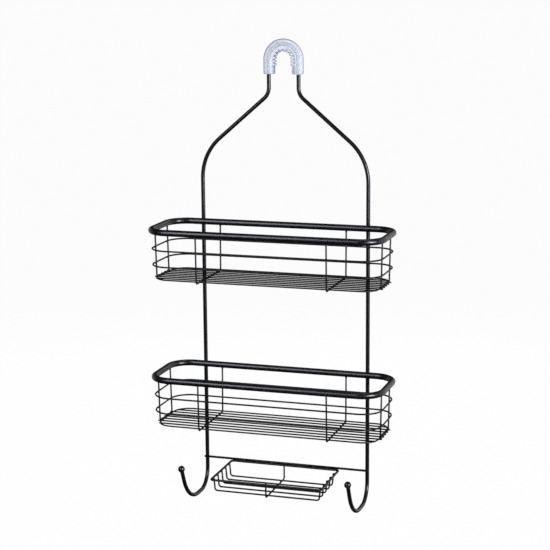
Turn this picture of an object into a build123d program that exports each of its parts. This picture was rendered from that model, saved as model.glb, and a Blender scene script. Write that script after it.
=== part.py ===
"""Two-basket hanging wire caddy with a soap dish, sized in millimetres.

Origin: centre of the round arm that the top loop hangs on.
Axes: +X to the right, +Y towards the wall, +Z up. The baskets reach out towards -Y.
"""

import os
from math import cos, pi, radians, sin, sqrt, tan

from build123d import *

os.makedirs("parts", exist_ok=True)

# Arm and saddle
arm_diameter = 21.3
saddle_clearance = 0.1
tooth_height = 2.5
tread_base = 0.25
tread_width = 9.0
teeth_on_arc = 8
teeth_on_leg = 2
tooth_share = 0.68
tooth_flare = 0.4
pad_relief = 1.8

# Grip sleeve
sleeve_diameter = 13.5
sleeve_bore_clearance = 0.3
sleeve_leg = 18.6
sleeve_edge = 0.8

# Frame wire
frame_wire = 5.3
upright_spacing = 228.0
neck_corner_drop = 45.0
shoulder_corner_drop = 125.7
neck_bend = 19.0
shoulder_bend = 70.0

# Baskets
upper_rim_drop = 216.0
basket_pitch = 196.5
rim_wire = 8.4
rim_length = 310.0
rim_depth = 100.5
rim_corner = 27.5
thin_wire = 2.2
grille_wire = 2.0
band_drops = (24.2, 45.4)
floor_drop = 63.4
floor_wires = 7
basket_taper = 1.4
cross_bend = 3.0
mid_cross_spacing = 174.0
end_leg_spacing = 43.0

# Soap dish
dish_pitch = 133.0
bar_wire = 3.0
dish_rail = 3.0
dish_length = 152.0
dish_depth = 86.0
dish_corner = 4.0
dish_tuck = 45.0
dish_wires = 5
dish_first_gap = 17.0
dish_last_gap = 6.0
dish_sag = 16.0
dish_flare = 1.5
dish_bend = 3.5
dish_leg_rise = 1.0

# Hooks at the lower ends of the frame wire
hook_depth = 41.3
hook_flat = 75.3
hook_lean = 25.3
hook_rise = 54.0
hook_back_bend = 26.0
hook_front_bend = 58.0
tip_diameter = 9.2
tip_bore_clearance = 0.05
tip_seat_depth = 1.4

# Welded wires meet with this much between their round sides
weld_gap = 0.05

# Sizes that follow from the ones above
saddle_radius = arm_diameter / 2 + saddle_clearance
groove_radius = saddle_radius + tooth_height
loop_radius = groove_radius + tread_base + sleeve_diameter / 2
upright_x = upright_spacing / 2
lower_rim_drop = upper_rim_drop + basket_pitch
dish_bar_drop = lower_rim_drop + dish_pitch
hook_bottom_drop = dish_bar_drop + hook_depth
rim_back_y = -(frame_wire + rim_wire) / 2 - weld_gap
basket_y = rim_back_y - rim_depth / 2
wire_pitch = thin_wire + weld_gap
grille_pitch = (thin_wire + grille_wire) / 2 + weld_gap
leg_inset = wire_pitch
leg_top_drop = sqrt((rim_wire / 2) ** 2 - (leg_inset - thin_wire / 2) ** 2) + weld_gap
floor_inset = leg_inset + basket_taper
ring_end_inset = floor_inset + grille_pitch
ring_side_inset = floor_inset + cross_bend
ring_length = rim_length - 2 * ring_end_inset
ring_depth = rim_depth - 2 * ring_side_inset
ring_corner = rim_corner - ring_side_inset
bar_y = -(frame_wire + bar_wire) / 2 - weld_gap
tuck = (bar_wire + dish_rail) / 2 + weld_gap
dish_back_y = bar_y - tuck * cos(radians(dish_tuck))
dish_z = -dish_bar_drop - tuck * sin(radians(dish_tuck))
dish_y = dish_back_y - dish_depth / 2
dish_leg_inset = (dish_rail + thin_wire) / 2 + weld_gap


def bent_path(corners, bends):
    """Straight runs between the corners, joined by round bends that meet them smoothly."""
    points = [Vector(*corner) for corner in corners]
    edges = []
    start = points[0]
    for index, bend in enumerate(bends, start=1):
        corner = points[index]
        back = (points[index - 1] - corner).normalized()
        ahead = (points[index + 1] - corner).normalized()
        half_angle = radians(back.get_angle(ahead)) / 2
        reach = bend / tan(half_angle)
        inward = (back + ahead).normalized()
        centre = corner + inward * (bend / sin(half_angle))
        bend_start = corner + back * reach
        bend_end = corner + ahead * reach
        if (bend_start - start).length > weld_gap:
            edges.append(Edge.make_line(start, bend_start))
        edges.append(Edge.make_three_point_arc(bend_start, centre - inward * bend, bend_end))
        start = bend_end
    if (points[-1] - start).length > weld_gap:
        edges.append(Edge.make_line(start, points[-1]))
    return Wire(edges)


def round_wire(path, diameter):
    """A round bar drawn along a path."""
    section = Plane(origin=path @ 0, z_dir=path % 0) * Circle(diameter / 2)
    return sweep(section, path=path)


def ring_path(length, depth, corner, middle_y, height):
    """A level rounded rectangle that starts in the middle of its back side."""
    x = length / 2
    front = middle_y - depth / 2
    back = middle_y + depth / 2
    corners = [
        (0, back, height),
        (x, back, height),
        (x, front, height),
        (-x, front, height),
        (-x, back, height),
        (0, back, height),
    ]
    return bent_path(corners, [corner] * 4)


def frame_corners():
    """Corners and bends of the frame wire from its left hook tip up, over the arm and down again."""
    bottom = -hook_bottom_drop
    tip_y = -hook_flat - hook_lean
    half = [
        (-upright_x, tip_y, bottom + hook_rise),
        (-upright_x, -hook_flat, bottom),
        (-upright_x, 0, bottom),
        (-upright_x, 0, -shoulder_corner_drop),
        (-loop_radius, 0, -neck_corner_drop),
        (-loop_radius, 0, loop_radius),
    ]
    half_bends = [hook_front_bend, hook_back_bend, shoulder_bend, neck_bend, loop_radius]
    other = [(-x, y, z) for x, y, z in reversed(half)]
    return half + other, half_bends + half_bends[::-1]


def make_hook_tip(side):
    """Moulded ball pressed on the end of a hook, with a blind seat for the wire."""
    along = Vector(0, -hook_lean, hook_rise).normalized()
    wire_end = Vector(side * upright_x, -hook_flat - hook_lean, -hook_bottom_drop + hook_rise)
    centre = wire_end - along * (tip_seat_depth - weld_gap)
    ball = Pos(*centre) * Sphere(tip_diameter / 2)
    seat = Plane(origin=wire_end + along * weld_gap, z_dir=-along)
    bore = extrude(seat * Circle(frame_wire / 2 + tip_bore_clearance), tip_diameter)
    return ball - bore


def saddle_outline(radius, leg):
    """Face of an upside-down U in the loop's plane: a half disc with straight legs below it."""
    arch = Plane.XZ * Circle(radius)
    below = Plane.XZ * Pos(0, -radius) * Rectangle(2 * radius, 2 * radius)
    legs = Plane.XZ * Pos(0, -leg / 2) * Rectangle(2 * radius, leg)
    return (arch - below) + legs


def make_grip_sleeve():
    """Clear soft tube over the loop, moulded with a toothed tread on its inner side."""
    leg_end = -sleeve_leg
    corners = [
        (-loop_radius, 0, leg_end),
        (-loop_radius, 0, loop_radius),
        (loop_radius, 0, loop_radius),
        (loop_radius, 0, leg_end),
    ]
    path = bent_path(corners, [loop_radius, loop_radius])
    tube = round_wire(path, sleeve_diameter)
    end_rims = tube.edges().filter_by(GeomType.CIRCLE).group_by(Axis.Z)[0]
    tube = chamfer(end_rims, sleeve_edge)
    bore = round_wire(path, frame_wire + 2 * sleeve_bore_clearance)

    root_radius = loop_radius - frame_wire / 2 - 2 * sleeve_bore_clearance
    tread = saddle_outline(root_radius, sleeve_leg - sleeve_edge) - saddle_outline(groove_radius, sleeve_leg)
    tooth_pitch = pi / teeth_on_arc
    tip_half = tooth_pitch * tooth_share / 2
    root_half = (tip_half * saddle_radius + tooth_flare / 2) / groove_radius
    ring = Plane.XZ * Circle(groove_radius + tread_base / 2) - Plane.XZ * Circle(saddle_radius)
    far = loop_radius
    for index in range(teeth_on_arc):
        middle = tooth_pitch * (index + 0.5)
        near_a = (saddle_radius * cos(middle - tip_half), saddle_radius * sin(middle - tip_half))
        near_b = (saddle_radius * cos(middle + tip_half), saddle_radius * sin(middle + tip_half))
        root_a = (groove_radius * cos(middle - root_half), groove_radius * sin(middle - root_half))
        root_b = (groove_radius * cos(middle + root_half), groove_radius * sin(middle + root_half))
        far_a = (far * cos(middle - root_half), far * sin(middle - root_half))
        far_b = (far * cos(middle + root_half), far * sin(middle + root_half))
        wedge = make_face(Polyline((0, 0), near_a, root_a, far_a, far_b, root_b, near_b, close=True))
        tread += ring & (Plane.XZ * wedge)
    ridge = saddle_radius * tip_half * 2
    ridge_pitch = saddle_radius * tooth_pitch
    for side in (-1, 1):
        for index in range(teeth_on_leg):
            height = -ridge_pitch * (index + 0.5)
            block_x = (saddle_radius + groove_radius + tread_base / 2) / 2
            block = Rectangle(tooth_height + tread_base / 2, ridge)
            tread += Plane.XZ * Pos(side * block_x, height) * block
        pad_top = -ridge_pitch * teeth_on_leg
        pad_bottom = leg_end + sleeve_edge
        pad_inner = saddle_radius + pad_relief
        pad_outer = groove_radius + tread_base / 2
        pad = Rectangle(pad_outer - pad_inner, pad_top - pad_bottom)
        tread += Plane.XZ * Pos(side * (pad_inner + pad_outer) / 2, (pad_top + pad_bottom) / 2) * pad
    tread = extrude(tread, tread_width / 2, both=True)
    return (tube + tread) - bore


def u_wire(top_back, bottom_back, bottom_front, top_front, bend):
    """Thin wire bent to a U through four corners."""
    return round_wire(bent_path([top_back, bottom_back, bottom_front, top_front], [bend, bend]), thin_wire)


def leg_inset_at(drop):
    """How far a leg lies inside the rim's centre line at some drop below it: the basket tapers."""
    return leg_inset + basket_taper * drop / floor_drop


def floor_wire_half_length(offset):
    """How far a floor wire runs from the middle before it meets the floor ring's inner side."""
    straight_half = ring_depth / 2 - ring_corner
    outer_side = abs(offset) + grille_wire / 2
    inner_radius = ring_corner - grille_wire / 2 - weld_gap
    past = max(outer_side - straight_half, 0)
    return ring_length / 2 - ring_corner + sqrt(inner_radius**2 - past**2)


def make_basket(prefix, rim_z):
    """One welded basket: thick rim, two bands, floor ring, floor wires and four cross wires."""
    pieces = {}
    floor_z = rim_z - floor_drop
    pieces["rim"] = round_wire(ring_path(rim_length, rim_depth, rim_corner, basket_y, rim_z), rim_wire)
    for name, drop in zip(("band_top", "band_bottom"), band_drops):
        inset = leg_inset_at(drop) - wire_pitch
        band_length = rim_length - 2 * inset
        band_depth = rim_depth - 2 * inset
        path = ring_path(band_length, band_depth, rim_corner - inset, basket_y, rim_z - drop)
        pieces[name] = round_wire(path, thin_wire)
    floor_path = ring_path(ring_length, ring_depth, ring_corner, basket_y, floor_z)
    pieces["floor_ring"] = round_wire(floor_path, grille_wire)
    spacing = ring_depth / (floor_wires + 1)
    for index in range(floor_wires):
        offset = spacing * (index + 1) - ring_depth / 2
        reach = floor_wire_half_length(offset)
        ends = [(-reach, basket_y + offset, floor_z), (reach, basket_y + offset, floor_z)]
        pieces[f"floor_wire_{index + 1}"] = round_wire(bent_path(ends, []), grille_wire)
    top = rim_z - leg_top_drop
    under = floor_z - grille_pitch
    top_half = rim_depth / 2 - leg_inset_at(leg_top_drop)
    under_half = rim_depth / 2 - leg_inset_at(floor_drop + grille_pitch)
    end_half = end_leg_spacing / 2
    for side, word in ((-1, "left"), (1, "right")):
        x = side * mid_cross_spacing / 2
        pieces[f"cross_wire_{word}"] = u_wire(
            (x, basket_y + top_half, top),
            (x, basket_y + under_half, under),
            (x, basket_y - under_half, under),
            (x, basket_y - top_half, top),
            cross_bend,
        )
        top_x = side * (rim_length / 2 - leg_inset_at(leg_top_drop))
        floor_x = side * (rim_length / 2 - floor_inset)
        pieces[f"end_wire_{word}"] = u_wire(
            (top_x, basket_y + end_half, top),
            (floor_x, basket_y + end_half, floor_z),
            (floor_x, basket_y - end_half, floor_z),
            (top_x, basket_y - end_half, top),
            cross_bend,
        )
    return {f"{prefix}_{name}": shape for name, shape in pieces.items()}


def make_dish():
    """Soap dish: a bar across the uprights, a rail frame hung on it, and sagging wires."""
    pieces = {}
    bar_half = upright_x + frame_wire / 2
    bar_ends = [(-bar_half, bar_y, -dish_bar_drop), (bar_half, bar_y, -dish_bar_drop)]
    pieces["dish_bar"] = round_wire(bent_path(bar_ends, []), bar_wire)
    rail_path = ring_path(dish_length, dish_depth, dish_corner, dish_y, dish_z)
    pieces["dish_frame"] = round_wire(rail_path, dish_rail)
    top = dish_z + dish_leg_rise
    bottom = dish_z - dish_sag
    top_x = dish_length / 2 - dish_leg_inset
    bottom_x = top_x - dish_flare
    spacing = (dish_depth - dish_first_gap - dish_last_gap) / (dish_wires - 1)
    for index in range(dish_wires):
        y = dish_back_y - dish_first_gap - spacing * index
        pieces[f"dish_wire_{index + 1}"] = u_wire(
            (-top_x, y, top),
            (-bottom_x, y, bottom),
            (bottom_x, y, bottom),
            (top_x, y, top),
            dish_bend,
        )
    half_depth = dish_depth / 2 - dish_leg_inset
    under = bottom - wire_pitch
    pieces["dish_cross_wire"] = u_wire(
        (0, dish_y + half_depth, top),
        (0, dish_y + half_depth, under),
        (0, dish_y - half_depth, under),
        (0, dish_y - half_depth, top),
        dish_bend,
    )
    return pieces


corners, bends = frame_corners()
nodes = {"frame_wire": round_wire(bent_path(corners, bends), frame_wire)}
nodes["left_hook_tip"] = make_hook_tip(-1)
nodes["right_hook_tip"] = make_hook_tip(1)
nodes["grip_sleeve"] = make_grip_sleeve()
nodes.update(make_basket("upper", -upper_rim_drop))
nodes.update(make_basket("lower", -lower_rim_drop))
nodes.update(make_dish())

for name, shape in nodes.items():
    export_step(shape, f"parts/{name}.step")
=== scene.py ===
import math

import bpy
from mathutils import Matrix, Vector


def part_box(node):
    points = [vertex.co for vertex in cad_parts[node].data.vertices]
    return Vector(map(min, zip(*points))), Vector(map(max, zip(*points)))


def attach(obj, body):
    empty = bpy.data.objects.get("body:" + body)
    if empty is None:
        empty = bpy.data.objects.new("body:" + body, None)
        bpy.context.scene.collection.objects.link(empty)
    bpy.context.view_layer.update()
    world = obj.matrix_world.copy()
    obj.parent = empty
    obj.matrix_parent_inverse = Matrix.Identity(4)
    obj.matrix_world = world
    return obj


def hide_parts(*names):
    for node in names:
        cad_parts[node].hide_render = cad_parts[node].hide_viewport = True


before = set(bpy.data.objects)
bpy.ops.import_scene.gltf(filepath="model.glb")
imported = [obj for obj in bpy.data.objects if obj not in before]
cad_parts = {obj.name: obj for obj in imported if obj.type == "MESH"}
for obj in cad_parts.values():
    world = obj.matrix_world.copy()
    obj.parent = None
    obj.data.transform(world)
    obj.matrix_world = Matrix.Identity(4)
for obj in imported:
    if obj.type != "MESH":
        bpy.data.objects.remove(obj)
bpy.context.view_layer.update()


# Frame wire: one length of drawn steel wire, bent cold from hook to hook over the shower arm.
# It is dipped in black coating with the rest of the rack, except for the length under the clear
# sleeve, which was masked and shows the bare zinc-plated wire.
MM = 0.001


class Tone:
    """One output in a node tree. Arithmetic on it adds Math nodes to that tree."""

    def __init__(self, tree, socket):
        self.tree = tree
        self.socket = socket

    def node(self, kind, settings=None, values=None, out=0):
        """A new node in the same tree, with its settings and inputs, as one of its outputs."""
        made = self.tree.nodes.new(kind)
        for key, value in (settings or {}).items():
            setattr(made, key, value)
        for key, value in (values or {}).items():
            if isinstance(value, Tone):
                self.tree.links.new(value.socket, made.inputs[key])
            else:
                made.inputs[key].default_value = value
        return Tone(self.tree, made.outputs[out] if len(made.outputs) else None)

    def math(self, operation, first, second):
        return self.node("ShaderNodeMath", {"operation": operation}, {0: first, 1: second})

    def __add__(self, other):
        return self.math("ADD", self, other)

    __radd__ = __add__

    def __sub__(self, other):
        return self.math("SUBTRACT", self, other)

    def __rsub__(self, other):
        return self.math("SUBTRACT", other, self)

    def __mul__(self, other):
        return self.math("MULTIPLY", self, other)

    def unsigned(self):
        return self.math("ABSOLUTE", self, 0.0)

    def diagonal(self, other):
        """Length of a diagonal with this value and another as its sides."""
        return self.math("POWER", self * self + other * other, 0.5)

    def axis(self, index):
        """One coordinate of this vector: 0 for X, 1 for Y, 2 for Z."""
        return self.node("ShaderNodeSeparateXYZ", None, {0: self}, index)

    def along(self, way):
        """How far this vector goes in a direction."""
        return self.node("ShaderNodeVectorMath", {"operation": "DOT_PRODUCT"}, {0: self, 1: way}, 1)

    def clipped(self, low, high):
        """0 below low, 1 above high, smooth between."""
        values = {"Value": self, "From Min": low, "From Max": high}
        return self.node("ShaderNodeMapRange", {"interpolation_type": "SMOOTHSTEP"}, values)

    def blend(self, dark, pale):
        """A colour between dark and pale, by this value."""
        settings = {"data_type": "RGBA"}
        return self.node("ShaderNodeMix", settings, {0: self, 6: dark, 7: pale}, 2)

    def grain(self, scale, detail=3.0, stretch=(1, 1, 1)):
        """Noise over the piece, where self is a position."""
        place = self
        if stretch != (1, 1, 1):
            place = self.node("ShaderNodeMapping", None, {"Vector": self, "Scale": stretch})
        return self.node("ShaderNodeTexNoise", None, {"Vector": place, "Scale": scale, "Detail": detail})


def open_finish(name):
    """A new finish with an empty tree, and the position on the piece to build it from."""
    finish = bpy.data.materials.new(name)
    finish.use_nodes = True
    tree = finish.node_tree
    tree.nodes.clear()
    return finish, Tone(tree, None).node("ShaderNodeTexCoord", out="Object")


def close_finish(place, shader):
    """Ends a finish's tree with its shader."""
    place.node("ShaderNodeOutputMaterial", None, {"Surface": shader})


def black_coating(name, rough_base, sheen, bare_above=None):
    """Baked black dip coating with a slight orange peel, thin dust and cloudy gloss."""
    finish, place = open_finish(name)
    cloud = place.grain(38.0, 4.0)
    peel = place.grain(1500.0, 2.0)
    dust = place.grain(2600.0, 2.0).clipped(0.62, 0.76)
    facing = place.node("ShaderNodeNewGeometry", out="Normal")
    upward = facing.axis(2).clipped(0.35, 1.0)
    shade = cloud.clipped(0.35, 0.7)
    colour = shade.blend((0.0012, 0.0013, 0.0020, 1), (0.0024, 0.0025, 0.0036, 1))
    colour = (dust * upward * 0.05).blend(colour, (0.05, 0.05, 0.056, 1))
    rough = rough_base + cloud * 0.08 - 0.04
    values = {"Base Color": colour, "Roughness": rough, "Specular IOR Level": sheen}
    values["Specular Tint"] = (0.92, 0.95, 1, 1)
    if bare_above is not None:
        mask_edge = 0.2 * MM
        bare = place.axis(2).clipped(bare_above - mask_edge, bare_above + mask_edge)
        draw_marks = place.grain(700.0, 3.0, (1, 1, 0.08))
        zinc = draw_marks.clipped(0.3, 0.7).blend((0.30, 0.31, 0.33, 1), (0.38, 0.39, 0.41, 1))
        peel = peel * (1 - bare)
        values["Base Color"] = bare.blend(colour, zinc)
        values["Roughness"] = rough + bare * 0.3
        values["Metallic"] = bare * 0.1
    relief = {"Strength": 0.05, "Distance": 0.1 * MM, "Height": peel}
    values["Normal"] = place.node("ShaderNodeBump", None, relief)
    close_finish(place, place.node("ShaderNodeBsdfPrincipled", None, values))
    return finish


def open_tree(name, kinds):
    """A new geometry tree: a start for its nodes, and its inputs by name."""
    tree = bpy.data.node_groups.new(name, "GeometryNodeTree")
    for label, kind in kinds.items():
        tree.interface.new_socket(label, in_out="INPUT", socket_type="NodeSocket" + kind)
    tree.interface.new_socket("Result", in_out="OUTPUT", socket_type="NodeSocketGeometry")
    entry = tree.nodes.new("NodeGroupInput")
    return Tone(tree, None), {label: Tone(tree, entry.outputs[label]) for label in kinds}


def close_tree(result, finish):
    """Ends a geometry tree: smooth shading, one finish, and the way out."""
    smooth = result.node("GeometryNodeSetShadeSmooth", None, {"Geometry": result})
    coated = smooth.node("GeometryNodeSetMaterial", None, {"Geometry": smooth, "Material": finish})
    coated.node("NodeGroupOutput", None, {0: coated})
    return coated.tree


def drawn_wire_tree():
    """Geometry nodes for a bent wire: round bends at its corners, then a round section along it."""
    kinds = {"Corners": "Geometry", "Diameter": "Float", "Sides": "Int", "Steps per bend": "Int"}
    start, ports = open_tree("Drawn wire", {**kinds, "Coating": "Material"})
    bend = start.node("GeometryNodeInputNamedAttribute", {"data_type": "FLOAT"}, {"Name": "bend"})
    girth = start.node("GeometryNodeInputNamedAttribute", {"data_type": "FLOAT"}, {"Name": "girth"})
    line = start.node("GeometryNodeMeshToCurve", None, {"Mesh": ports["Corners"]})
    values = {"Curve": line, "Count": ports["Steps per bend"], "Radius": bend}
    line = start.node("GeometryNodeFilletCurve", {"mode": "POLY"}, values)
    values = {"Resolution": ports["Sides"], "Radius": ports["Diameter"] * 0.5}
    section = start.node("GeometryNodeCurvePrimitiveCircle", None, values)
    values = {"Curve": line, "Profile Curve": section, "Scale": girth, "Fill Caps": True}
    return close_tree(start.node("GeometryNodeCurveToMesh", None, values), ports["Coating"])


def grow(name, mesh, tree, inputs):
    """Runs a geometry tree on a mesh and gives back the result as a plain object at the origin."""
    seed = bpy.data.objects.new(name + ".seed", mesh)
    bpy.context.scene.collection.objects.link(seed)
    modifier = seed.modifiers.new(tree.name, "NODES")
    modifier.node_group = tree
    for item in tree.interface.items_tree:
        if item.in_out == "INPUT" and item.name in inputs:
            modifier[item.identifier] = inputs[item.name]
    view = bpy.context.evaluated_depsgraph_get()
    result = bpy.data.meshes.new_from_object(seed.evaluated_get(view))
    bpy.data.objects.remove(seed)
    piece = bpy.data.objects.new(name, result)
    result.name = name
    bpy.context.scene.collection.objects.link(piece)
    return piece


drawn_wire = drawn_wire_tree()


def draw_wire(node, corners, bends, diameter, finish, closed=False, sides=20, steps=10):
    """A coated wire in place of a CAD node. Open ends are slightly rounded by the coating."""
    points = [Vector(corner) for corner in corners]
    bends = list(bends)
    girths = [1.0] * len(points)
    if not closed:
        end_steps = (0.0, 0.06, 0.18)
        end_girths = [0.62, 0.86, 1.0]
        head = (points[1] - points[0]).normalized() * diameter
        tail = (points[-2] - points[-1]).normalized() * diameter
        lead = [points[0] + head * step for step in end_steps]
        trail = [points[-1] + tail * step for step in reversed(end_steps)]
        bends = [0.0] * len(lead) + bends + [0.0] * len(trail)
        girths = end_girths + [1.0] * (len(points) - 2) + end_girths[::-1]
        points = lead + points[1:-1] + trail
    edges = [(index, index + 1) for index in range(len(points) - 1)]
    if closed:
        edges.append((len(points) - 1, 0))
    mesh = bpy.data.meshes.new(node + ".corners")
    mesh.from_pydata([tuple(point) for point in points], edges, [])
    for label, values in (("bend", bends), ("girth", girths)):
        mesh.attributes.new(label, "FLOAT", "POINT").data.foreach_set("value", values)
    inputs = {"Diameter": diameter, "Sides": sides, "Steps per bend": steps, "Coating": finish}
    wire = grow(node + ".drawn", mesh, drawn_wire, inputs)
    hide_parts(node)
    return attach(wire, "root")


frame_diameter = 5.3 * MM
upright_x = 114.0 * MM
loop_radius = 20.25 * MM
neck_corner_z = -45.0 * MM
shoulder_z = -125.7 * MM
hook_bottom_z = -586.8 * MM
hook_corner_y = -75.3 * MM
hook_tip = Vector((0, -100.6, -532.8)) * MM
sleeve_end_z = -18.6 * MM
hook_front_bend = 58.0 * MM
hook_back_bend = 26.0 * MM
shoulder_bend = 70.0 * MM
neck_bend = 19.0 * MM
# A hair under the loop's own radius, so that its two bends don't share a point.
loop_bend = loop_radius * 0.9999

frame_coating = black_coating("Frame coating", rough_base=0.30, sheen=0.5, bare_above=sleeve_end_z)
half_frame = [
    (-upright_x, hook_tip.y, hook_tip.z),
    (-upright_x, hook_corner_y, hook_bottom_z),
    (-upright_x, 0, hook_bottom_z),
    (-upright_x, 0, shoulder_z),
    (-loop_radius, 0, neck_corner_z),
    (-loop_radius, 0, loop_radius),
]
half_bends = [hook_front_bend, hook_back_bend, shoulder_bend, neck_bend, loop_bend]
other_half = [(-x, y, z) for x, y, z in reversed(half_frame)]
draw_wire(
    "frame_wire",
    half_frame + other_half,
    half_bends + half_bends[::-1],
    frame_diameter,
    frame_coating,
    sides=32,
    steps=18,
)


# Hook tips: small balls of glossy black plastic, moulded with a blind hole and pressed on the
# cut ends of the frame wire so that they can't scratch. A faint parting line runs round each.
def moulded_gloss(name, centre, along):
    """Glossy black plastic with a little haze, fine scuffs and a parting line round the ball."""
    finish, place = open_finish(name)
    haze = place.grain(160.0, 3.0)
    scuff = place.grain(1400.0, 3.0).clipped(0.58, 0.72)
    colour = haze.clipped(0.35, 0.7).blend((0.004, 0.004, 0.005, 1), (0.008, 0.008, 0.0095, 1))
    colour = (scuff * 0.1).blend(colour, (0.05, 0.05, 0.055, 1))
    offset = place.node("ShaderNodeVectorMath", {"operation": "SUBTRACT"}, {0: place, 1: centre})
    seam = 1 - offset.along(along).unsigned().clipped(0.08 * MM, 0.25 * MM)
    relief = seam * 0.6 + haze * 0.2
    bump = place.node("ShaderNodeBump", None, {"Strength": 0.3, "Distance": 0.1 * MM, "Height": relief})
    values = {"Base Color": colour, "Roughness": 0.14 + scuff * 0.12 + haze * 0.06, "Normal": bump}
    values.update({"Coat Weight": 0.3, "Coat Roughness": 0.05})
    close_finish(place, place.node("ShaderNodeBsdfPrincipled", None, values))
    return finish


tip_radius = 4.6 * MM
tip_mouth = 2.7 * MM
tip_setback = 1.35 * MM
seat_height = 1.4 * MM
lip_round = 0.08 * MM
lip_depth = 0.9 * MM
mouth_share = 0.98
arc_steps = 24
turns = 40
leg_run = (hook_tip - Vector((0, hook_corner_y, hook_bottom_z))).normalized()


def turn_tip(node, side):
    """A ball turned about the wire's line, with a rounded lip and a blind seat for the wire."""
    centre = Vector((side * upright_x, hook_tip.y, hook_tip.z)) - leg_run * tip_setback
    across = Vector((1, 0, 0))
    third = leg_run.cross(across)
    mouth_angle = math.pi - math.asin(tip_mouth / tip_radius) * mouth_share
    profile = [(0.0, tip_radius)]
    for step in range(1, arc_steps + 1):
        angle = mouth_angle * step / arc_steps
        profile.append((tip_radius * math.sin(angle), tip_radius * math.cos(angle)))
    mouth_radius, mouth_height = profile[-1]
    bore_radius = mouth_radius - lip_round
    profile.append((mouth_radius - 0.75 * lip_round, mouth_height + lip_round))
    profile.append((bore_radius, mouth_height + lip_depth))
    profile.append((bore_radius, seat_height))
    points = [centre + leg_run * profile[0][1]]
    for radius, height in profile[1:]:
        for turn in range(turns):
            angle = 2 * math.pi * turn / turns
            spoke = across * math.cos(angle) + third * math.sin(angle)
            points.append(centre + leg_run * height + spoke * radius)
    seat = len(points)
    points.append(centre + leg_run * seat_height)
    faces = []
    for turn in range(turns):
        following = (turn + 1) % turns
        faces.append((0, 1 + turn, 1 + following))
        for row in range(len(profile) - 2):
            low = 1 + row * turns
            high = low + turns
            faces.append((low + turn, high + turn, high + following, low + following))
        faces.append((seat - turns + turn, seat, seat - turns + following))
    mesh = bpy.data.meshes.new(node + ".moulded")
    mesh.from_pydata([tuple(point) for point in points], [], faces)
    mesh.shade_smooth()
    mesh.materials.append(moulded_gloss("Tip gloss " + node.split("_")[0], centre, leg_run))
    tip = bpy.data.objects.new(mesh.name, mesh)
    bpy.context.scene.collection.objects.link(tip)
    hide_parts(node)
    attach(tip, "root")


turn_tip("left_hook_tip", -1)
turn_tip("right_hook_tip", 1)


# Grip sleeve: a thick clear tube of soft plastic, extruded and then moulded with a row of teeth
# along its inner side. It is pushed over the loop before the frame is bent, and grips the shower arm.
sleeve_radius = 6.75 * MM
sleeve_bore = 2.95 * MM
sleeve_leg = -sleeve_end_z
tread_half_width = 4.5 * MM
tooth_tip = 10.75 * MM
tooth_root = 13.25 * MM
leg_pad = 12.55 * MM
teeth_on_arc = 8
teeth_on_leg = 2
tooth_pitch = tooth_tip * math.pi / teeth_on_arc
tooth_share = 0.68
tooth_half = tooth_pitch * tooth_share / 2
tooth_round = 0.45 * MM
sleeve_edge = 0.8 * MM


def clear_plastic(name):
    """Soft clear plastic: see-through face on, painted shade at its edges and blue painted shade in the
    tread's roots.
    """
    finish, place = open_finish(name)
    flow = place.grain(150.0, 3.0, (1, 1, 0.5))
    mist = place.grain(46.0, 4.0)
    rise = place.math("MAXIMUM", place.axis(2), 0.0)
    reach = place.axis(0).diagonal(rise)
    root_start = reach.clipped(tooth_root - 1.25 * MM, tooth_root - 0.05 * MM)
    root_end = reach.clipped(tooth_root + 0.45 * MM, tooth_root + 1.05 * MM)
    root = root_start * (1 - root_end)
    normal = place.node("ShaderNodeNewGeometry", out="Normal")
    inner = 1 - normal.axis(1).unsigned().clipped(0.25, 0.7)
    # Painted shade: dark blue in the tread's roots, the recesses between the teeth, stronger on faces
    # turned inward.
    painted_root_shade = root * (inner * 0.8 + 0.4)
    off_wire = (reach - loop_radius).diagonal(place.axis(1))
    outside = off_wire.clipped(sleeve_bore + 0.15 * MM, sleeve_bore + 0.65 * MM)
    tube = reach.clipped(tooth_tip + 0.45 * MM, tooth_root - 0.05 * MM)
    facing = place.node("ShaderNodeLayerWeight", None, {"Blend": 0.3}, "Facing")
    # Painted shade: a dark outline where the tube is seen edge on.
    painted_edge_shade = facing.clipped(0.22, 0.5) * outside
    colour = mist.clipped(0.3, 0.75).blend((0.52, 0.57, 0.69, 1), (0.60, 0.64, 0.76, 1))
    # Dark blue painted shade in the roots.
    colour = painted_root_shade.blend(colour, (0.05, 0.08, 0.21, 1))
    # Dark grey painted shade at the edges.
    colour = painted_edge_shade.blend(colour, (0.16, 0.19, 0.30, 1))
    bump = place.node("ShaderNodeBump", None, {"Strength": 0.05, "Distance": 0.3 * MM, "Height": flow})
    body = 0.06 + outside * (tube * 0.26 + 0.1)
    values = {"Base Color": colour, "Roughness": 0.3 + mist * 0.1, "Normal": bump}
    # The painted shade at the roots and at the edges is also drawn more opaque.
    values.update({"Alpha": body + painted_root_shade * 0.7 + painted_edge_shade * 0.6})
    values.update({"Coat Weight": 0.08, "Coat Roughness": 0.16})
    close_finish(place, place.node("ShaderNodeBsdfPrincipled", None, values))
    return finish


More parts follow.
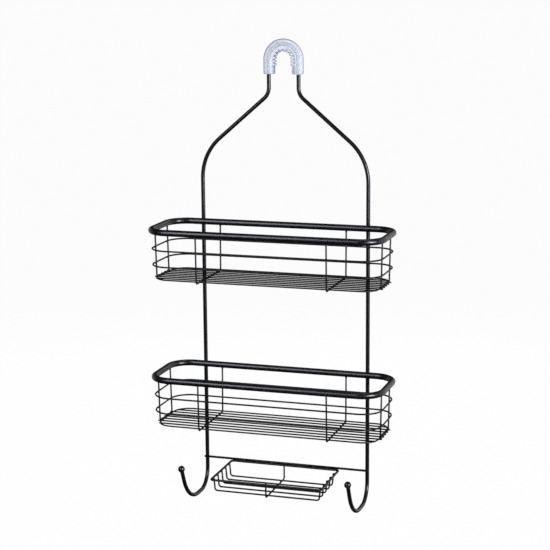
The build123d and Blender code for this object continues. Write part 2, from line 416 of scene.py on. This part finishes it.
def sleeve_stations():
    """Places along the saddle, each with the distance of the tread's face from the arm's centre."""
    step = 0.03 * MM
    total = 2 * sleeve_leg + math.pi * tooth_tip
    pad = sleeve_leg - teeth_on_leg * tooth_pitch
    pad_line = [(place, leg_pad) for place in (0.0, sleeve_edge, pad * 0.5, pad - step)]
    stations = list(pad_line)
    tip_line = [(0.0, tooth_round), (0.3, 0.3 * tooth_round), (1.0, 0.0)]
    for tooth in range(teeth_on_arc + 2 * teeth_on_leg):
        middle = pad + (tooth + 0.5) * tooth_pitch
        first = middle - tooth_half
        last = middle + tooth_half
        stations.append((middle - tooth_pitch / 2 + step, tooth_root))
        stations.append((first - step, tooth_root))
        for share, drop in tip_line:
            stations.append((first + share * tooth_round, tooth_tip + drop))
        stations.append((middle, tooth_tip))
        for share, drop in reversed(tip_line):
            stations.append((last - share * tooth_round, tooth_tip + drop))
        stations.append((last + step, tooth_root))
    stations.append((total - pad - step, tooth_root))
    for place, face in reversed(pad_line):
        stations.append((total - place, face))
    return stations


def sleeve_section(station):
    """Centre of the loop wire and inward direction at a station along the saddle."""
    arc = math.pi * tooth_tip
    if station <= sleeve_leg:
        return Vector((-loop_radius, 0, station - sleeve_leg)), Vector((1, 0, 0))
    if station >= sleeve_leg + arc:
        return Vector((loop_radius, 0, sleeve_leg + arc - station)), Vector((-1, 0, 0))
    angle = (station - sleeve_leg) / tooth_tip
    return (
        Vector((-loop_radius * math.cos(angle), 0, loop_radius * math.sin(angle))),
        Vector((math.cos(angle), 0, -math.sin(angle))),
    )


def make_sleeve():
    """The tube and its tread as one skin, section by section along the saddle, with the wire's bore."""
    tread_places = (-0.92, -0.45, 0.0, 0.45, 0.92)
    tread_round = 0.35 * MM
    tube_steps = 28
    shoulder = math.sqrt(sleeve_radius**2 - tread_half_width**2)
    opening = math.atan2(tread_half_width, shoulder)
    rows = []
    bores = []
    stations = sleeve_stations()
    for index, (station, face) in enumerate(stations):
        centre, inward = sleeve_section(station)
        deep = loop_radius - face
        trim = sleeve_edge if index in (0, len(stations) - 1) else 0.0
        side = tread_half_width - trim * 0.3
        radius = sleeve_radius - trim
        outline = [(deep - trim, tread_half_width * share) for share in tread_places]
        outline.append((deep - trim - tread_round, side))
        outline.append(((deep + shoulder) / 2 - trim, side))
        for step in range(tube_steps + 1):
            angle = opening + (2 * math.pi - 2 * opening) * step / tube_steps
            outline.append((radius * math.cos(angle), radius * math.sin(angle)))
        outline.append(((deep + shoulder) / 2 - trim, -side))
        outline.append((deep - trim - tread_round, -side))
        rows.append([centre + inward * along + Vector((0, across, 0)) for along, across in outline])
        hole = []
        for along, across in outline:
            reach = math.hypot(along, across)
            hole.append(centre + (inward * along + Vector((0, across, 0))) * (sleeve_bore / reach))
        bores.append(hole)
    count = len(rows[0])
    points = [point for row in rows + bores for point in row]
    half = len(rows) * count
    faces = []
    for row in range(len(rows) - 1):
        for turn in range(count):
            following = (turn + 1) % count
            low, high = row * count, (row + 1) * count
            skin = (low + turn, high + turn, high + following, low + following)
            faces.append(skin)
            faces.append(tuple(half + corner for corner in reversed(skin)))
    last = (len(rows) - 1) * count
    for turn in range(count):
        following = (turn + 1) % count
        faces.append((turn, following, half + following, half + turn))
        faces.append((last + following, last + turn, half + last + turn, half + last + following))
    mesh = bpy.data.meshes.new("grip_sleeve.clear")
    mesh.from_pydata([tuple(point) for point in points], [], faces)
    mesh.shade_smooth()
    mesh.set_sharp_from_angle(angle=math.radians(38))
    mesh.materials.append(clear_plastic("Clear soft plastic"))
    sleeve = bpy.data.objects.new(mesh.name, mesh)
    bpy.context.scene.collection.objects.link(sleeve)
    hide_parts("grip_sleeve")
    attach(sleeve, "root")


make_sleeve()


# Basket rims: a thick round steel rod bent to a rounded rectangle and butt welded at the back.
# Each rim is welded to the front of both uprights and carries its basket's thin wires.
def ring_corners(node):
    """Corners of a level ring's centre line and its wire's diameter, from the CAD node's box."""
    low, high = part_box(node)
    radius = (high.z - low.z) / 2
    level = (high.z + low.z) / 2
    left, right = low.x + radius, high.x - radius
    front, back = low.y + radius, high.y - radius
    corners = [(right, back, level), (right, front, level), (left, front, level), (left, back, level)]
    return corners, 2 * radius


rim_bend = 27.5 * MM
rim_coating = black_coating("Rim coating", rough_base=0.32, sheen=0.8)
for basket in ("upper", "lower"):
    node = basket + "_rim"
    corners, diameter = ring_corners(node)
    draw_wire(node, corners, [rim_bend] * 4, diameter, rim_coating, closed=True, sides=36, steps=20)


# Bands: two rings of thin wire round each basket, outside its upright wires, welded at each crossing.
# They are cut from straightened coil, so the coating on them is thin and a little less glossy.
thin_coating = black_coating("Thin wire coating", rough_base=0.34, sheen=0.35)
for basket in ("upper", "lower"):
    rim_diameter = ring_corners(basket + "_rim")[1]
    for node in (basket + "_band_top", basket + "_band_bottom"):
        corners, diameter = ring_corners(node)
        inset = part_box(basket + "_rim")[1].x - rim_diameter / 2 - corners[0][0]
        bends = [rim_bend - inset] * 4
        draw_wire(node, corners, bends, diameter, thin_coating, closed=True, sides=16, steps=12)


# Floors: a ring of thin wire with straight wires laid lengthways across it. The wires are pressed into
# the ring when they are welded, and their cut ends stick out a little past it and past the end wires.
floor_bend = 20.85 * MM
floor_count = 7
short_stub = 3.4 * MM
long_stub = 5.8 * MM


def straight_wire(node, finish, sides, stub=0.0):
    """A straight wire along X in place of a CAD node, from that node's box, with stubs past its ends."""
    low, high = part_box(node)
    middle = (low + high) / 2
    ends = [(low.x - stub, middle.y, middle.z), (high.x + stub, middle.y, middle.z)]
    return draw_wire(node, ends, [], high.z - low.z, finish, sides=sides)


for basket in ("upper", "lower"):
    node = basket + "_floor_ring"
    corners, diameter = ring_corners(node)
    draw_wire(node, corners, [floor_bend] * 4, diameter, thin_coating, closed=True, sides=16, steps=10)
    for index in range(floor_count):
        stub = short_stub if index in (0, floor_count - 1) else long_stub
        straight_wire(f"{basket}_floor_wire_{index + 1}", thin_coating, sides=16, stub=stub)


# Cross wires and end wires: U-shaped thin wires, butt welded under the rim at both ends. They lean in
# a little on their way down past the bands, and run under the floor or along its end.
thin_diameter = 2.2 * MM
thin_radius = thin_diameter / 2
cross_bend = 3.0 * MM
cross_lean = 1.35 * MM


def u_wire(node, bend, lean, finish):
    """A U-shaped wire, open at the top, in place of a CAD node. It lies along its box's longer side."""
    low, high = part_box(node)
    middle = (low + high) / 2
    bottom = low.z + thin_radius
    if high.y - low.y > high.x - low.x:
        far, near = high.y - thin_radius, low.y + thin_radius
        corners = [
            (middle.x, far, high.z),
            (middle.x, far - lean, bottom),
            (middle.x, near + lean, bottom),
            (middle.x, near, high.z),
        ]
    else:
        far, near = high.x - thin_radius, low.x + thin_radius
        corners = [
            (far, middle.y, high.z),
            (far - lean, middle.y, bottom),
            (near + lean, middle.y, bottom),
            (near, middle.y, high.z),
        ]
    return draw_wire(node, corners, [bend, bend], thin_diameter, finish, sides=16, steps=8)


def end_wire(node, sign, bend, finish):
    """The U-shaped wire at one end of a basket. Its foot lies further in than its welded tops."""
    low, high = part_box(node)
    outer = high.x - thin_radius if sign > 0 else low.x + thin_radius
    inner = low.x + thin_radius if sign > 0 else high.x - thin_radius
    far, near = high.y - thin_radius, low.y + thin_radius
    bottom = low.z + thin_radius
    corners = [(outer, far, high.z), (inner, far, bottom), (inner, near, bottom), (outer, near, high.z)]
    return draw_wire(node, corners, [bend, bend], thin_diameter, finish, sides=16, steps=8)


for basket in ("upper", "lower"):
    for side, sign in (("left", -1), ("right", 1)):
        u_wire(f"{basket}_cross_wire_{side}", cross_bend, cross_lean, thin_coating)
        end_wire(f"{basket}_end_wire_{side}", sign, cross_bend, thin_coating)


# Basket welds: a flattened nugget of metal at each place where two wires cross, coated over.
# Each is pressed out between electrodes, so it is lumpy and no two are quite alike.
def weld_tree():
    """Geometry nodes for weld nuggets: a lumpy bead on each point, spread by the point's own sizes."""
    kinds = {"Crossings": "Geometry", "Lump depth": "Float", "Lump scale": "Float", "Coating": "Material"}
    start, ports = open_tree("Weld nuggets", kinds)
    ball = start.node("GeometryNodeMeshIcoSphere", None, {"Radius": 1.0, "Subdivisions": 3})
    settings = {"data_type": "FLOAT_VECTOR"}
    spread = start.node("GeometryNodeInputNamedAttribute", settings, {"Name": "spread"})
    values = {"Points": ports["Crossings"], "Instance": ball, "Scale": spread}
    beads = start.node("GeometryNodeInstanceOnPoints", None, values)
    beads = start.node("GeometryNodeRealizeInstances", None, {"Geometry": beads})
    place = start.node("GeometryNodeInputPosition")
    values = {"Vector": place, "Scale": ports["Lump scale"], "Detail": 1.0}
    lump = start.node("ShaderNodeTexNoise", None, values)
    push = (lump - 0.5) * ports["Lump depth"]
    outward = start.node("GeometryNodeInputNormal")
    offset = start.node("ShaderNodeVectorMath", {"operation": "SCALE"}, {0: outward, "Scale": push})
    beads = start.node("GeometryNodeSetPosition", None, {"Geometry": beads, "Offset": offset})
    return close_tree(beads, ports["Coating"])


weld_nuggets = weld_tree()


def weld(name, crossings, finish):
    """One object with a nugget at each crossing: a list of places and half sizes."""
    mesh = bpy.data.meshes.new(name + ".crossings")
    mesh.from_pydata([tuple(place) for place, spread in crossings], [], [])
    sizes = [value for place, spread in crossings for value in spread]
    mesh.attributes.new("spread", "FLOAT_VECTOR", "POINT").data.foreach_set("vector", sizes)
    inputs = {"Lump depth": 0.4 * MM, "Lump scale": 700.0, "Coating": finish}
    welds = grow(name, mesh, weld_nuggets, inputs)
    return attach(welds, "root")


def middle_of(node):
    """Middle of a CAD node's box."""
    low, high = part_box(node)
    return (low + high) / 2


def bead(x, y, z):
    """Half sizes of a nugget, from millimetres."""
    return (x * MM, y * MM, z * MM)


cross_top_bead = bead(1.5, 1.3, 1.5)
cross_band_bead = bead(1.5, 1.0, 1.5)
cross_floor_bead = bead(1.5, 1.5, 1.0)
end_top_bead = bead(1.3, 1.5, 1.5)
end_band_bead = bead(1.0, 1.5, 1.5)
stub_bead = bead(1.6, 1.5, 1.2)
foot_bead = bead(1.0, 2.4, 0.95)
upright_bead = bead(2.6, 1.3, 1.5)
ring_overlap = 1.0 * MM
end_overlap = 3.4 * MM
foot_pitch = 12.0 * MM
upright_lift = 1.0 * MM

for basket in ("upper", "lower"):
    crossings = []
    rim = middle_of(basket + "_rim")
    ring_low, ring_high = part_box(basket + "_floor_ring")
    floor_z = (ring_low.z + ring_high.z) / 2
    lanes = [middle_of(f"{basket}_floor_wire_{index + 1}").y for index in range(floor_count)]
    grille_radius = (ring_high.z - ring_low.z) / 2
    rails = [ring_low.y + grille_radius, ring_high.y - grille_radius]
    for side, sign in (("left", -1), ("right", 1)):
        low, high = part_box(f"{basket}_cross_wire_{side}")
        x = (low.x + high.x) / 2
        for leg_y, away in ((high.y - thin_radius, 1), (low.y + thin_radius, -1)):
            crossings.append(((x, leg_y, high.z), cross_top_bead))
            for band in ("_band_top", "_band_bottom"):
                band_low, band_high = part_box(basket + band)
                contact = band_high.y - thin_diameter if away > 0 else band_low.y + thin_diameter
                crossings.append(((x, contact, middle_of(basket + band).z), cross_band_bead))
        for lane in lanes + rails:
            crossings.append(((x, lane, floor_z - grille_radius), cross_floor_bead))
        low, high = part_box(f"{basket}_end_wire_{side}")
        outer = high.x - thin_radius if sign > 0 else low.x + thin_radius
        foot = low.x if sign > 0 else high.x
        for leg_y in (high.y - thin_radius, low.y + thin_radius):
            crossings.append(((outer, leg_y, high.z), end_top_bead))
            for band in ("_band_top", "_band_bottom"):
                band_low, band_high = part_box(basket + band)
                contact = band_high.x - thin_diameter if sign > 0 else band_low.x + thin_diameter
                crossings.append(((contact, leg_y, middle_of(basket + band).z), end_band_bead))
        for index, lane in enumerate(lanes):
            low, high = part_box(f"{basket}_floor_wire_{index + 1}")
            end = high.x if sign > 0 else low.x
            crossings.append(((end + sign * ring_overlap, lane, floor_z), stub_bead))
            if 0 < index < floor_count - 1:
                crossings.append(((end + sign * end_overlap, lane, floor_z), stub_bead))
        for shift in (-foot_pitch, 0.0, foot_pitch):
            crossings.append(((foot, rim.y + shift, floor_z), foot_bead))
        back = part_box(basket + "_rim")[1].y
        for lift in (-upright_lift, upright_lift):
            crossings.append(((sign * upright_x, back, rim.z + lift), upright_bead))
    weld(basket + "_basket.welds", crossings, thin_coating)


# Dish bar: a straight wire laid across the front of both uprights and welded to them.
# Its cut ends are flush with the outer sides of the uprights.
bar_coating = black_coating("Bar coating", rough_base=0.32, sheen=0.4)
straight_wire("dish_bar", bar_coating, sides=20)


# Dish frame: a wire bent to a closed rectangle with tight corners, hung under the bar along its back.
# It carries the wires that the soap lies on.
dish_bend = 4.0 * MM
corners, rail_diameter = ring_corners("dish_frame")
bends = [dish_bend] * 4
draw_wire("dish_frame", corners, bends, rail_diameter, bar_coating, closed=True, sides=20, steps=8)


# Dish wires: long thin wires that sag between the ends of the frame, and one wire across under them.
# The sag keeps the soap from sliding off, and the gaps let the water out.
sag_bend = 3.5 * MM
sag_lean = 1.5 * MM
dish_count = 5
for index in range(dish_count):
    u_wire(f"dish_wire_{index + 1}", sag_bend, sag_lean, thin_coating)
u_wire("dish_cross_wire", sag_bend, 0.0, thin_coating)


# Dish welds: the same flattened nuggets where the bar meets the uprights, the frame meets the bar,
# and the wires meet the frame and each other.
bar_bead = bead(2.4, 1.2, 2.0)
rail_bead = bead(3.0, 1.5, 1.5)
sag_end_bead = bead(1.2, 1.6, 1.6)
sag_middle_bead = bead(1.6, 1.6, 1.1)
dish_cross_bead = bead(1.6, 1.2, 1.6)
rail_welds_each_way = 3
rail_weld_pitch = 20.0 * MM
crossings = []
bar = middle_of("dish_bar")
bar_radius = rail_diameter / 2
rail_low, rail_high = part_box("dish_frame")
rail_z = (rail_low.z + rail_high.z) / 2
rail_back = rail_high.y - bar_radius
for sign in (-1, 1):
    crossings.append(((sign * upright_x, bar.y + bar_radius, bar.z), bar_bead))
for step in range(-rail_welds_each_way, rail_welds_each_way + 1):
    place = (step * rail_weld_pitch, (bar.y + rail_back) / 2, (bar.z + rail_z) / 2)
    crossings.append((place, rail_bead))
for index in range(dish_count):
    low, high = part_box(f"dish_wire_{index + 1}")
    lane = (low.y + high.y) / 2
    crossings.append(((low.x, lane, rail_z), sag_end_bead))
    crossings.append(((high.x, lane, rail_z), sag_end_bead))
    crossings.append(((0.0, lane, low.z), sag_middle_bead))
low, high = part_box("dish_cross_wire")
crossings.append(((0.0, high.y, rail_z), dish_cross_bead))
crossings.append(((0.0, low.y, rail_z), dish_cross_bead))
weld("soap_dish.welds", crossings, bar_coating)


# Stage: a plain white floor well below the hanging rack, in a white room. The coating mirrors the
# lamps and the room's white ends, and the room is dark to it elsewhere, so that its edges stay black.
# The fill boxes light the pale plastic to a plain level and aren't mirrored.
right_end_way = (0.66, 0.75, 0.0)
right_end_tone = 0.75
left_end_way = (-0.86, 0.50, -0.10)
left_end_tone = 0.5
dark_tone = 0.03
even_level = 0.3
seen_glow = 0.96


def room_tone(way, camera_ray, shiny, through):
    """How bright the white room is in some direction: plain for the camera, shaded for mirrored rays."""
    right_end = way.along(right_end_way).clipped(0.55, 0.95) * right_end_tone
    left_end = way.along(left_end_way).clipped(0.8, 0.97) * left_end_tone
    return camera_ray + shiny * (right_end + left_end + dark_tone) + through


def ray_kinds(place):
    """Whether a ray comes from the camera, off a shiny surface or through a clear one."""
    camera_ray = place.node("ShaderNodeLightPath", out="Is Camera Ray")
    ports = camera_ray.socket.node.outputs
    shiny = Tone(place.tree, ports["Is Glossy Ray"])
    through = Tone(place.tree, ports["Is Transmission Ray"])
    return camera_ray, shiny, through


def white_floor():
    """White paint that keeps shadows, and glows as white as the room to the camera."""
    finish, place = open_finish("White floor")
    camera_ray, shiny, through = ray_kinds(place)
    lift = (0.0, 0.0, 0.3)
    from_rack = place.node("ShaderNodeVectorMath", {"operation": "ADD"}, {0: place, 1: lift})
    way = place.node("ShaderNodeVectorMath", {"operation": "NORMALIZE"}, {0: from_rack})
    paint = place.grain(6.0, 2.0).blend((0.90, 0.90, 0.90, 1), (0.92, 0.92, 0.92, 1))
    matt = place.node("ShaderNodeBsdfDiffuse", None, {"Color": paint})
    tone = room_tone(way, camera_ray, shiny, through)
    glow = place.node("ShaderNodeEmission", None, {"Color": (1, 1, 1, 1), "Strength": tone})
    seen = camera_ray * seen_glow + shiny + through
    mixed = place.node("ShaderNodeMixShader", None, {0: seen, 1: matt, 2: glow})
    close_finish(place, mixed)
    return finish


floor_level = -0.92
floor_reach = 60.0
floor_mesh = bpy.data.meshes.new("studio_floor")
floor_signs = [(-1, -1), (1, -1), (1, 1), (-1, 1)]
floor_corners = [(x * floor_reach, y * floor_reach, floor_level) for x, y in floor_signs]
floor_mesh.from_pydata(floor_corners, [], [(0, 1, 2, 3)])
floor_mesh.materials.append(white_floor())
studio_floor = bpy.data.objects.new("studio_floor", floor_mesh)
bpy.context.scene.collection.objects.link(studio_floor)

world = bpy.data.worlds.new("White room")
bpy.context.scene.world = world
world.use_nodes = True
world.node_tree.nodes.clear()
start = Tone(world.node_tree, None)
direction = start.node("ShaderNodeTexCoord", out="Generated")
camera_ray, shiny, through = ray_kinds(direction)
even_light = (1 - (camera_ray + shiny + through).clipped(0.0, 1.0)) * even_level
strength = room_tone(direction, camera_ray, shiny, through) + even_light
background = start.node("ShaderNodeBackground", None, {"Color": (1, 1, 1, 1), "Strength": strength})
start.node("ShaderNodeOutputWorld", None, {"Surface": background})


def soft_box(name, place, aim, width, height, power, colour=(1, 1, 1), mirrored=True):
    """A rectangular lamp turned towards a point. The camera doesn't see it."""
    lamp = bpy.data.lights.new(name, "AREA")
    lamp.shape = "RECTANGLE"
    lamp.size = width
    lamp.size_y = height
    lamp.energy = power
    lamp.color = colour
    box = bpy.data.objects.new(name, lamp)
    bpy.context.scene.collection.objects.link(box)
    box.location = place
    box.rotation_euler = (Vector(aim) - Vector(place)).to_track_quat("-Z", "Y").to_euler()
    box.visible_camera = False
    box.visible_glossy = mirrored


rack_middle = (0.0, -0.05, -0.30)
soft_box("Front left box", (-0.64, -1.46, 0.40), rack_middle, 0.55, 1.2, 12.0, (0.95, 0.97, 1.0))
soft_box("Right box", (1.34, -0.89, -0.08), rack_middle, 0.6, 0.5, 29.0, (0.97, 0.98, 1.0))
soft_box("Overhead box", (0.2, 0.3, 1.5), rack_middle, 1.0, 0.6, 3.0)
soft_box("Fill box", (0.63, -2.0, 0.6), rack_middle, 1.6, 1.6, 12.0, mirrored=False)
soft_box("Back fill box", (-0.63, 2.0, 0.6), rack_middle, 1.6, 1.6, 22.0, mirrored=False)


# Camera: a little above the top of the rack and to the right of it, turned down to its middle,
# as far off as the photograph's slight perspective asks for.
view_place = (0.6268, -1.9918, 0.1363)
view_turn = math.radians(17.83)
view_dip = math.radians(11.40)
view_roll = math.radians(-0.45)
focal_px = 1600.0
picture_px = 550.0
lens = bpy.data.cameras.new("Camera")
lens.sensor_width = 36.0
lens.lens = focal_px / picture_px * lens.sensor_width
lens.clip_end = 200.0
camera = bpy.data.objects.new("Camera", lens)
bpy.context.scene.collection.objects.link(camera)
camera.matrix_world = (
    Matrix.Translation(view_place)
    @ Matrix.Rotation(view_turn, 4, "Z")
    @ Matrix.Rotation(math.pi / 2 - view_dip, 4, "X")
    @ Matrix.Rotation(view_roll, 4, "Z")
)
bpy.context.scene.camera = camera
bpy.context.scene.view_settings.view_transform = "Standard"
